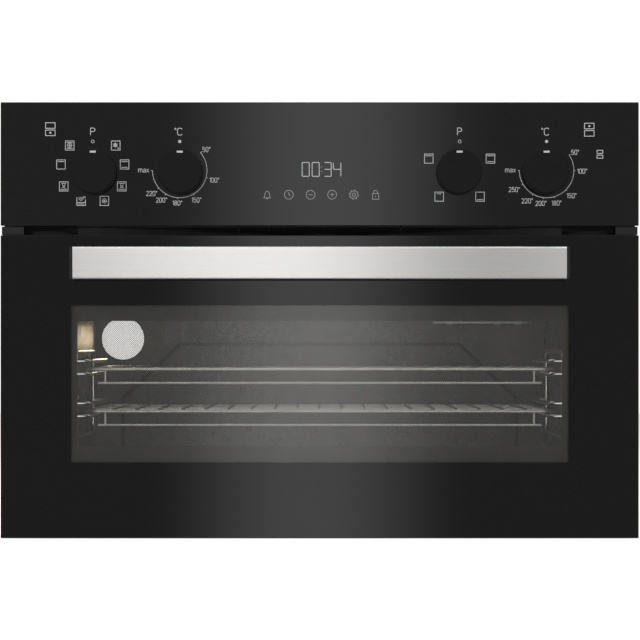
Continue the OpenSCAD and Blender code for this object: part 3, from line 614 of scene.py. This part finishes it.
class Print:
    """Flat strokes and letters, all in one mesh just proud of the panel glass."""

    def __init__(self):
        self.bm = bmesh.new()
        self.layer = 0

    def at(self, x, z):
        return self.bm.verts.new((x, PRINT_Y - self.layer % 8 * 0.002 * MM, z))

    def stroke(self, points, width):
        """A ribbon along points with mitred corners; it closes when the last point repeats the first."""
        self.layer += 1
        closed = len(points) > 3 and points[0] == points[-1]
        pts = [Vector(p) for p in (points[:-1] if closed else points)]
        count = len(pts)
        pairs = []
        for i, p in enumerate(pts):
            before = pts[i - 1] if (closed or i > 0) else None
            after = pts[(i + 1) % count] if (closed or i < count - 1) else None
            a = (p - before).normalized() if before is not None else (after - p).normalized()
            b = (after - p).normalized() if after is not None else a
            normal = Vector((-(a + b).y, (a + b).x))
            normal = normal.normalized() if normal.length > 1e-9 else Vector((-a.y, a.x))
            reach = width / 2 / max(normal.dot(Vector((-a.y, a.x))), 0.4)
            pairs.append((self.at(*(p + normal * reach)), self.at(*(p - normal * reach))))
        spans = list(zip(pairs, pairs[1:]))
        if closed:
            spans.append((pairs[-1], pairs[0]))
        for (a, b), (c, d) in spans:
            self.bm.faces.new((a, b, d, c))

    def lines(self, x, z, width, *paths):
        """Strokes in millimetres around a centre."""
        for path in paths:
            self.stroke([(x + dx * MM, z + dz * MM) for dx, dz in path], width)

    def arc(self, x, z, radius, start, end, width, steps=24):
        """Angles are clockwise from the top, in degrees."""
        points = []
        for i in range(steps + 1):
            a = math.radians(start + (end - start) * i / steps)
            points.append((x + radius * math.sin(a), z + radius * math.cos(a)))
        if abs(end - start) >= 360:
            points[-1] = points[0]
        self.stroke(points, width)

    def disc(self, x, z, radius, steps=20):
        self.layer += 1
        ring = [self.at(x + radius * math.cos(2 * math.pi * i / steps),
                        z + radius * math.sin(2 * math.pi * i / steps)) for i in range(steps)]
        self.bm.faces.new(ring)

    def box(self, x, z, w, h, width):
        corners = [(-w / 2, -h / 2), (w / 2, -h / 2), (w / 2, h / 2), (-w / 2, h / 2), (-w / 2, -h / 2)]
        self.stroke([(x + dx, z + dz) for dx, dz in corners], width)

    def text(self, words, x, z, height, width):
        """Upright lettering, centred on x and z; "o" is the degree mark."""
        sizes = [max(px for path in GLYPHS[letter] for px, _ in path) for letter in words]
        total = sum(sizes) + LETTER_GAP * (len(words) - 1)
        left = x - total * height / 2
        for letter, size in zip(words, sizes):
            for path in GLYPHS[letter]:
                self.stroke([(left + px * height, z + (pz - 0.5) * height) for px, pz in path], width)
            left += (size + LETTER_GAP) * height

    def finish(self, name, mat):
        for face in self.bm.faces:
            face.normal_update()
            if face.normal.y > 0:
                face.normal_flip()
        return piece(name, self.bm, "root", "black_glass", mat)


LINE = 0.62 * MM
FINE = 0.5 * MM
ICON_W, ICON_H = 8.0 * MM, 8.5 * MM
ARC_R = 25.4 * MM

# The print is laid out about points a little outside each knob's axis
PRINT_SPREAD = 1.0056
PRINT_RISE = 1.35 * MM


def print_centre(kind, side):
    c = knob_centre(side, kind)
    return c.x * PRINT_SPREAD, c.z + PRINT_RISE


def oven_icon(ink, x, z, parts):
    """A square oven symbol with what heats it."""
    bar = 2.9
    edge = 2.7
    if "open" in parts:
        ink.lines(x, z, LINE, [(-4, 3.4), (-4, -4.2), (4, -4.2), (4, 1.4)], [(-4, -1.6), (4, -1.6)])
        ink.lines(x, z, FINE, [(-2.4, 3.6), (-1.8, 1.6), (-0.4, 0.4), (1.0, 1.0), (2.2, 2.6)],
                  [(-1.0, 3.4), (0.2, 2.0), (1.0, 3.8)], [(-2.6, -2.9), (2.6, -2.9)])
        ink.arc(x + 3.0 * MM, z + 3.4 * MM, 0.8 * MM, 0, 360, FINE, 12)
        return
    ink.box(x, z, ICON_W, ICON_H, LINE)
    if "top" in parts:
        ink.lines(x, z, LINE, [(-bar, edge), (bar, edge)])
    if "base" in parts:
        ink.lines(x, z, LINE, [(-bar, -edge), (bar, -edge)])
    if "grill" in parts:
        ink.lines(x, z, FINE, [(-1.9, 3.3), (-1.0, 2.3), (0, 3.2), (1.0, 2.3), (1.9, 3.3)])
    if "fan" in parts:
        ink.lines(x, z, FINE, [(-1.6, -1.3), (-0.5, -0.9), (0, 0), (0.5, 0.9), (1.6, 1.3)],
                  [(-1.3, 1.6), (-0.9, 0.5), (0, 0), (0.9, -0.5), (1.3, -1.6)])
    if "ring" in parts:
        ink.arc(x, z, 2.0 * MM, 0, 360, FINE, 18)
        ink.disc(x, z, 1.0 * MM, 12)
    if "star" in parts:
        for turn in (0, 60, 120):
            a = math.radians(turn)
            dx, dz = 2.5 * math.sin(a), 2.5 * math.cos(a)
            ink.lines(x - 0.4 * MM, z + 0.4 * MM, FINE, [(-dx, -dz), (dx, dz)])
        ink.arc(x - 0.4 * MM, z + 0.4 * MM, 1.5 * MM, 0, 360, FINE, 14)
        ink.disc(x + 2.3 * MM, z - 2.6 * MM, 0.7 * MM, 10)


def stack_icon(ink, x, z, w, h, dot):
    """Two ovens, one above the other, with a dot in the one that a knob pair serves."""
    gap = 1.0 * MM
    each = (h - gap) / 2
    for level in (-1, 1):
        ink.box(x, z + level * (each + gap) / 2, w - LINE, each - LINE, LINE)
    if dot:
        ink.disc(x, z + dot * (each + gap) / 2, 0.95 * MM, 12)


def dial_marks(ink, place, labels, ticks):
    """A temperature arc with a tick for each number; "max" ends it at three quarters of a turn."""
    x, z = place
    tick = 1.4 * MM
    ink.arc(x, z, ARC_R, ticks[0], 270, FINE, 60)
    for angle in ticks + [270]:
        a = math.radians(angle)
        ink.stroke([(x + r * math.sin(a), z + r * math.cos(a)) for r in (ARC_R, ARC_R + tick)], FINE)
    for words, dx, dz in labels:
        height = (4.6 if words == "max" else 4.2) * MM
        lift = 0.6 * MM if words == "max" else 0
        ink.text(words, x + dx * MM, z + dz * MM + lift, height, FINE)


def knob_headings(ink):
    """P over the function knobs, oC over the temperature knobs, and the mark that each pointer meets."""
    over, mark = 36.2 * MM, 27.0 * MM
    for side in ("left", "right"):
        x, z = print_centre("function", side)
        ink.text("P", x, z + over, 6.6 * MM, LINE)
        ink.arc(x, z + mark, 1.35 * MM, 0, 360, FINE, 20)
        x, z = print_centre("temperature", side)
        ink.text("C", x, z + over - 0.1 * MM, 6.7 * MM, LINE)
        ink.text("o", x - 4.1 * MM, z + over + 0.2 * MM, 6.2 * MM, FINE)
        ink.disc(x, z + mark, 1.5 * MM)


FUNCTION_ICONS = {
    "left": [(["star"], 21.4, 23.2), (["top", "base"], 29.6, 5.6), (["fan", "top", "base"], 27.0, -14.8),
             (["ring"], 10.8, -28.3), (["open"], -10.8, -28.3), (["fan", "grill", "base"], -27.0, -14.8),
             (["top"], -29.6, 5.6), (["ring", "top", "base"], -21.4, 23.2)],
    "right": [(["top", "base"], 28.7, 11.0), (["base"], 19.0, -24.4), (["grill"], -19.0, -24.4),
              (["top"], -28.7, 11.0)],
}


# Two-oven symbols at the panel's ends: centre and size in millimetres, and which oven has the dot
STACK_ICONS = [(-250.7, 381.2, 9.5, 12.6, -1), (250.9, 380.7, 9.5, 12.6, 1), (260.8, 357.8, 6.0, 8.0, 0)]


def panel_print():
    ink = Print()
    for side, icons in FUNCTION_ICONS.items():
        x, z = print_centre("function", side)
        for parts, dx, dz in icons:
            oven_icon(ink, x + dx * MM, z + dz * MM, parts)
    knob_headings(ink)
    dial_marks(ink, print_centre("temperature", "left"), [
        ("50o", 24.8, 19.5), ("100o", 32.1, -9.0), ("150o", 15.5, -27.5), ("180o", -2.3, -30.3),
        ("200o", -16.9, -27.5), ("220o", -26.1, -21.4), ("max", -33.6, 0)],
        [49.4, 105, 150, 184.8, 210.6, 230])
    dial_marks(ink, print_centre("temperature", "right"), [
        ("50o", 26.6, 16.9), ("100o", 33.0, -0.7), ("150o", 23.2, -23.5), ("180o", 9.2, -30.3),
        ("200o", -5.2, -30.6), ("220o", -18.0, -28.3), ("250o", -30.1, -17.8), ("max", -33.6, 0)],
        [55.6, 90, 135.2, 163.8, 186.7, 210, 239.7])
    for x, z, w, h, dot in STACK_ICONS:
        stack_icon(ink, x * MM, z * MM, w * MM, h * MM, dot)
    return ink.finish("panel_print", WHITE_INK)


def touch_icons():
    """Bell, clock, minus, plus, gear and lock under the clock display."""
    ink = Print()
    z = 320.2 * MM
    xs = [x * MM for x in (-48.9, -28.7, -8.5, 11.6, 31.8, 52.0)]
    thin = 0.55 * MM
    r = 4.1 * MM
    ink.lines(xs[0], z, thin, [(-3.2, -2.9), (-2.3, -1.6), (-2.1, 0.8), (-1.2, 2.7), (0, 3.3), (1.2, 2.7),
                               (2.1, 0.8), (2.3, -1.6), (3.2, -2.9), (-3.2, -2.9)])
    ink.arc(xs[0], z - 3.1 * MM, 0.9 * MM, 90, 270, thin, 8)
    for x in xs[1:4]:
        ink.arc(x, z, r, 0, 360, thin, 32)
    ink.lines(xs[1], z, thin, [(0, 2.1), (0, 0), (1.6, -0.6)])
    ink.lines(xs[2], z, thin, [(-1.9, 0), (1.9, 0)])
    ink.lines(xs[3], z, thin, [(-1.9, 0), (1.9, 0)], [(0, 1.9), (0, -1.9)])
    teeth = 8
    outline = []
    for i in range(teeth * 4):
        a = 2 * math.pi * (i + 0.5) / (teeth * 4)
        reach = (4.3 if i % 4 in (0, 1) else 3.3) * MM
        outline.append((xs[4] + reach * math.sin(a), z + reach * math.cos(a)))
    ink.stroke(outline + outline[:1], thin)
    ink.arc(xs[4], z, 1.5 * MM, 0, 360, thin, 16)
    ink.box(xs[5], z - 1.6 * MM, 5.9 * MM, 5.4 * MM, thin)
    ink.arc(xs[5], z + 2.3 * MM, 1.8 * MM, -90, 90, thin, 12)
    ink.lines(xs[5], z, thin, [(-1.8, 2.3), (-1.8, 1.1)], [(1.8, 2.3), (1.8, 1.1)], [(0, -0.8), (0, -2.4)])
    return ink.finish("touch_print", TOUCH_INK)


def clock_display():
    """Four seven-segment digits, lit."""
    ink = Print()
    low, middle, high = 337.3 * MM, 343.8 * MM, 350.2 * MM
    thin = 0.72 * MM
    lit = {"0": "abcdef", "3": "abcdg", "4": "bcfg"}
    spans = [(-16.3, -9.7), (-7.0, -0.4), (4.4, 10.7), (12.7, 19.7)]
    for digit, (x0, x1) in zip("0034", spans):
        x0, x1 = x0 * MM, x1 * MM
        segments = {
            "a": ((x0, high), (x1, high)), "b": ((x1, middle), (x1, high)), "c": ((x1, low), (x1, middle)),
            "d": ((x0, low), (x1, low)), "e": ((x0, low), (x0, middle)), "f": ((x0, middle), (x0, high)),
            "g": ((x0, middle), (x1, middle)),
        }
        for name in lit[digit]:
            a, b = (Vector(p) for p in segments[name])
            trim = (b - a).normalized() * 0.2 * MM
            ink.stroke([tuple(a + trim), tuple(b - trim)], thin)
    for dz in (-2.2, 2.2):
        ink.disc(1.8 * MM, middle + dz * MM, 0.35 * MM, 10)
    return ink.finish("clock_digits", DISPLAY)


panel_print()
touch_icons()
clock_display()


# ---------- knobs ----------

def pointers():
    """White inlay in each knob's recess."""
    half_w = 2.8 * MM
    inner, outer = 16.95 * MM, 18.85 * MM
    front = knob_front_y() + 0.1 * MM
    back = front + 0.35 * MM
    for kind, side, c in KNOBS:
        bm = bmesh.new()
        bevelled_box(bm, (c.x - half_w, front, c.z + inner), (c.x + half_w, back, c.z + outer), 0.12 * MM)
        body = f"{kind}_knob_{side}"
        piece(f"{kind}_pointer_{side}", bm, body, "knob_black", WHITE_INK)


pointers()


# ---------- springs and screws ----------

def hinge_coils():
    """Real coils in place of the plain spring tubes."""
    lo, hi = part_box("hinge_springs")
    coil_r = 3.3 * MM
    wire_r = 0.65 * MM
    turns = 34
    steps = 14
    y = (lo.y + hi.y) / 2
    tube_r = 4 * MM
    x = hi.x - tube_r
    for side, sign in (("left", -1), ("right", 1)):
        bm = bmesh.new()
        points = []
        for i in range(turns * steps + 1):
            a = 2 * math.pi * i / steps
            z = lo.z + wire_r + (hi.z - lo.z - 2 * wire_r) * i / (turns * steps)
            points.append(Vector((sign * x + coil_r * math.cos(a), y + coil_r * math.sin(a), z)))
        tube(bm, points, wire_r, 6)
        coil = piece(f"hinge_coil_{side}", bm, "door", "spring_steel", LOOKS["spring_steel"])
        smooth(coil, 60)
    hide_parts("hinge_springs")


def screw_head(bm, place, outward):
    """A domed head with a cross recess."""
    profile = [(3.9, 0.0), (3.9, 0.5), (3.5, 1.2), (2.6, 1.75), (1.6, 2.0), (0.8, 1.5)]
    sides = 20
    turn = Matrix.Translation(place) @ Vector(outward).to_track_quat("Z", "Y").to_matrix().to_4x4()
    rings = []
    for radius, height in profile:
        ring = []
        for k in range(sides):
            a = 2 * math.pi * k / sides
            r = radius * (0.45 if radius < 1 and k % 5 else 1)
            ring.append(bm.verts.new(turn @ (Vector((r * math.cos(a), r * math.sin(a), height)) * MM)))
        rings.append(ring)
    for a, b in zip(rings, rings[1:]):
        for k in range(sides):
            bm.faces.new((a[k], a[(k + 1) % sides], b[(k + 1) % sides], b[k]))
    bm.faces.new(rings[-1])
    bm.faces.new(list(reversed(rings[0])))


def screw_heads():
    """Heads of the casing screws on the sides, the rear cover and the top cover."""
    shank_r = 2 * MM
    rear_side, rear_low, rear_high = 12 * MM, 24 * MM, 14 * MM
    top_side, top_front, top_back = 40 * MM, 10 * MM, 12 * MM
    bm = bmesh.new()
    lo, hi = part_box("casing_screws")
    for side in (-1, 1):
        for y in (lo.y + shank_r, hi.y - shank_r):
            for z in (lo.z + shank_r, (lo.z + hi.z) / 2, hi.z - shank_r):
                screw_head(bm, (side * hi.x, y, z), (side, 0, 0))
    lo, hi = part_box("rear_cover")
    for x in (lo.x + rear_side, hi.x - rear_side):
        for z in (lo.z + rear_low, (lo.z + hi.z) / 2, hi.z - rear_high):
            screw_head(bm, (x, hi.y, z), (0, 1, 0))
    lo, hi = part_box("top_cover")
    for x in (lo.x + top_side, 0, hi.x - top_side):
        for y in (lo.y + top_front, hi.y - top_back):
            screw_head(bm, (x, y, hi.z), (0, 0, 1))
    return smooth(piece("casing_screw_heads", bm, "root", "zinc_steel", LOOKS["zinc_steel"]), 40)


def pressed_edge():
    """Painted shade: a strip of darker enamel laid on the slope round the panel pressed into the cavity's
    back wall.
    """
    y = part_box("cavity_back")[0].y - 0.05 * MM
    above_liner_base = 13
    low = LINER_LO.z / MM + above_liner_base
    half_w, top_half_w = 208, 147
    shoulder, top = 125, 183
    corners = [(-half_w, low), (-half_w, shoulder), (-top_half_w, top), (top_half_w, top),
               (half_w, shoulder), (half_w, low)]
    bm = bmesh.new()
    slope = 3.6 * MM
    rings = []
    for reach, depth in ((0, 0), (slope, 0.4 * MM)):
        ring = []
        for i, (x, z) in enumerate(corners):
            before, after = Vector(corners[i - 1]), Vector(corners[(i + 1) % len(corners)])
            here = Vector((x, z))
            out_a = (here - before).normalized().orthogonal()
            out_b = (after - here).normalized().orthogonal()
            outward = (out_a + out_b) / (1 + out_a.dot(out_b))
            ring.append(bm.verts.new((x * MM - outward.x * reach, y - depth, z * MM - outward.y * reach)))
        rings.append(ring)
    for i in range(len(corners)):
        k = (i + 1) % len(corners)
        bm.faces.new((rings[0][i], rings[0][k], rings[1][k], rings[1][i]))
    bmesh.ops.recalc_face_normals(bm, faces=bm.faces[:])
    # The darker black enamel on this strip is painted shade along the pressed edge
    return piece("back_wall_pressed_edge_painted_shade", bm, "root", "black_enamel", LOOKS["black_enamel"])


hinge_coils()
screw_heads()
pressed_edge()


# ---------- stage, lights and camera ----------

def stage_mesh(name, corners, material, camera=True, glossy=True, diffuse=True):
    mesh = bpy.data.meshes.new(name)
    mesh.from_pydata(corners, [], [tuple(range(len(corners)))])
    made = bpy.data.objects.new(name, mesh)
    bpy.context.scene.collection.objects.link(made)
    mesh.materials.append(material)
    made.visible_camera = camera
    made.visible_glossy = glossy
    made.visible_diffuse = diffuse
    made.visible_shadow = False
    made.visible_transmission = camera
    return made


def floor_material():
    look = Look("floor_white", grey(0.82), 0.8)
    look.set("Emission Color", (1, 1, 1, 1))
    look.set("Emission Strength", 0.55)
    return look.vary_rough(look.noise(3), 0.75, 0.9).mat


def glow_material(name, stops, half_width):
    """Light whose strength follows stops of (x in metres, strength) across a panel."""
    mat = bpy.data.materials.new(name)
    mat.use_nodes = True
    tree = mat.node_tree
    tree.nodes.remove(tree.nodes["Principled BSDF"])
    glow = tree.nodes.new("ShaderNodeEmission")
    coords = tree.nodes.new("ShaderNodeTexCoord")
    split = tree.nodes.new("ShaderNodeSeparateXYZ")
    place = tree.nodes.new("ShaderNodeMapRange")
    place.inputs["From Min"].default_value = -half_width
    place.inputs["From Max"].default_value = half_width
    ramp = tree.nodes.new("ShaderNodeValToRGB")
    ramp.color_ramp.interpolation = "B_SPLINE"
    top = max(value for _, value in stops)
    while len(ramp.color_ramp.elements) < len(stops):
        ramp.color_ramp.elements.new(0.5)
    for element, (x, value) in zip(ramp.color_ramp.elements, stops):
        element.position = (x + half_width) / (2 * half_width)
        element.color = (*grey(value / top), 1)
    glow.inputs["Strength"].default_value = top
    tree.links.new(coords.outputs["Object"], split.inputs["Vector"])
    tree.links.new(split.outputs["X"], place.inputs["Value"])
    tree.links.new(place.outputs["Result"], ramp.inputs["Fac"])
    tree.links.new(ramp.outputs["Color"], glow.inputs["Color"])
    tree.links.new(glow.outputs["Emission"], tree.nodes["Material Output"].inputs["Surface"])
    return mat


def soft_band(base, rise, middle, half):
    """Stops of a soft bell on a level base."""
    shape = [(-1.0, 0), (-0.8, 0.09), (-0.62, 0.33), (-0.42, 0.66), (-0.25, 0.93), (-0.08, 1.0)]
    shape += [(-t, v) for t, v in reversed(shape)]
    return [(middle + t * half, base + rise * v) for t, v in shape]


def glow_panel(name, x, y, low, high, stops):
    corners = [(-x, y, low), (x, y, low), (x, y, high), (-x, y, high)]
    return stage_mesh(name, corners, glow_material(name, stops, x), camera=False, diffuse=False)


CAMERA_BACK = 3.4
EYE_X, EYE_Z = 0.0003, 0.180
MIDDLE_Z = 0.2036
VIEW_W = 0.5956
SENSOR = 36.0

camera_data = bpy.data.cameras.new("camera")
camera = bpy.data.objects.new("camera", camera_data)
bpy.context.scene.collection.objects.link(camera)
camera.location = (EYE_X, GLASS_Y - CAMERA_BACK, EYE_Z)
camera.rotation_euler = (math.pi / 2, 0, 0)
camera_data.sensor_width = SENSOR
camera_data.lens = SENSOR * CAMERA_BACK / VIEW_W
camera_data.shift_y = (MIDDLE_Z - EYE_Z) / VIEW_W
camera_data.clip_end = 50
bpy.context.scene.camera = camera

stage_mesh("floor", [(-6, -9, 0), (6, -9, 0), (6, 6, 0), (-6, 6, 0)], floor_material(), glossy=False)
# Panels that only mirrors see: a soft vertical band for the glass, brighter ones above it for the bar
BAND_Y = camera.location.y - 0.1
BAND_HALF_W, BAR_LIGHT_HALF_W = 2.6, 1.7
BAND_LOW, BAND_SPLIT, BAND_TOP = -1.6, 0.395, 0.74
BAR_LIGHT_LOW, BAR_LIGHT_TOP = 0.76, 2.6
glow_panel("band_low", BAND_HALF_W, BAND_Y, BAND_LOW, BAND_SPLIT, soft_band(0.25, 1.11, -0.021, 0.31))
glow_panel("band_high", BAND_HALF_W, BAND_Y, BAND_SPLIT, BAND_TOP, soft_band(0.32, 1.14, 0.014, 0.33))
bar_light = glow_panel("bar_light", BAR_LIGHT_HALF_W, BAND_Y, BAR_LIGHT_LOW, BAR_LIGHT_TOP, [
    (-1.2, 1.1), (-0.65, 1.2), (-0.52, 1.6), (-0.40, 3.2), (-0.34, 3.9), (-0.24, 3.4), (-0.10, 2.4),
    (0.00, 2.6), (0.06, 2.2), (0.12, 1.2), (0.20, 0.4), (0.30, 0.08), (0.40, 0.15), (0.48, 1.8), (0.60, 3.2),
    (1.0, 2.6)])
# It lights only the handle bar
receivers = bpy.data.collections.new("bar_light_receivers")
receivers.objects.link(frame["nodes"]["handle_bar"])
bar_light.light_linking.receiver_collection = receivers


WARM = (1.0, 0.86, 0.55)


def area_light(name, place, aim, size, power, colour=(1, 1, 1), glossy=True, spread=180):
    data = bpy.data.lights.new(name, "AREA")
    data.shape = "RECTANGLE"
    data.spread = math.radians(spread)
    data.size, data.size_y = size
    data.energy = power
    data.color = colour
    made = bpy.data.objects.new(name, data)
    bpy.context.scene.collection.objects.link(made)
    made.location = place
    made.rotation_euler = (Vector(aim) - Vector(place)).to_track_quat("-Z", "Y").to_euler()
    made.visible_glossy = glossy
    made.visible_camera = False
    return made


area_light("key_left", (-2.2, -2.6, 1.6), (0, -0.2, 0.2), (1.2, 1.6), 60)
area_light("key_right", (2.4, -2.4, 1.2), (0, -0.2, 0.2), (1.0, 1.4), 30)
area_light("top", (0, 0.0, 2.6), (0, 0, 0.2), (2.4, 2.0), 45)
area_light("front_fill", (0, -3.2, 2.0), (0, 0, 0.2), (1.6, 0.8), 25, glossy=False)
area_light("cavity_glow", (0, LINER_LO.y + 0.03, LINER_HI.z - 0.006), (0, LINER_LO.y + 0.07, LINER_LO.z),
           (0.42, 0.04), 0.10)
SHELF_LIGHT_Z = MIDDLE_Z - 0.06
area_light("shelf_light", (0, INNER_HI.y + 0.012, SHELF_LIGHT_Z), (0, 0, SHELF_LIGHT_Z),
           (0.46, 0.15), 0.08, spread=80)
# What the lamp throws on the wall beside it
WALL_GLOW_Y, WALL_GLOW_Z = GLASS_Y + 0.195, 0.197
area_light("wall_glow", (LINER_LO.x + 0.010, WALL_GLOW_Y, WALL_GLOW_Z),
           (LINER_LO.x, WALL_GLOW_Y, WALL_GLOW_Z), (0.07, 0.026), 0.006, WARM, glossy=False)
# Air outlet behind the gap under the control panel
DUCT_Z = PANEL_LO.z - 0.004
area_light("duct_light", (0, LINER_LO.y + 0.002, DUCT_Z), (0, 0, DUCT_Z), (0.44, 0.008), 0.010)

LENS = (LENS_LO + LENS_HI) / 2
area_light("lamp_on_wall", (LENS.x, LENS_LO.y - 0.03, LENS.z), (LENS.x, LENS_HI.y, LENS.z),
           (0.05, 0.05), 0.008, WARM, glossy=False)
area_light("back_glow", (0.08, LENS_LO.y - 0.14, LINER_HI.z - 0.008), (0.08, LENS_HI.y, LINER_LO.z + 0.06),
           (0.30, 0.03), 0.05)


def world():
    """White to the camera, and dimmer as a source of light."""
    dim, seen_by_camera = 0.30, 1.05
    made = bpy.data.worlds.new("studio")
    bpy.context.scene.world = made
    made.use_nodes = True
    tree = made.node_tree
    back = tree.nodes["Background"]
    ray = tree.nodes.new("ShaderNodeLightPath")
    fade = tree.nodes.new("ShaderNodeMapRange")
    fade.inputs["To Min"].default_value = dim
    fade.inputs["To Max"].default_value = seen_by_camera
    tree.links.new(ray.outputs["Is Camera Ray"], fade.inputs["Value"])
    tree.links.new(fade.outputs["Result"], back.inputs["Strength"])
    back.inputs["Color"].default_value = (1, 1, 1, 1)


world()
bpy.context.scene.view_settings.view_transform = "Standard"
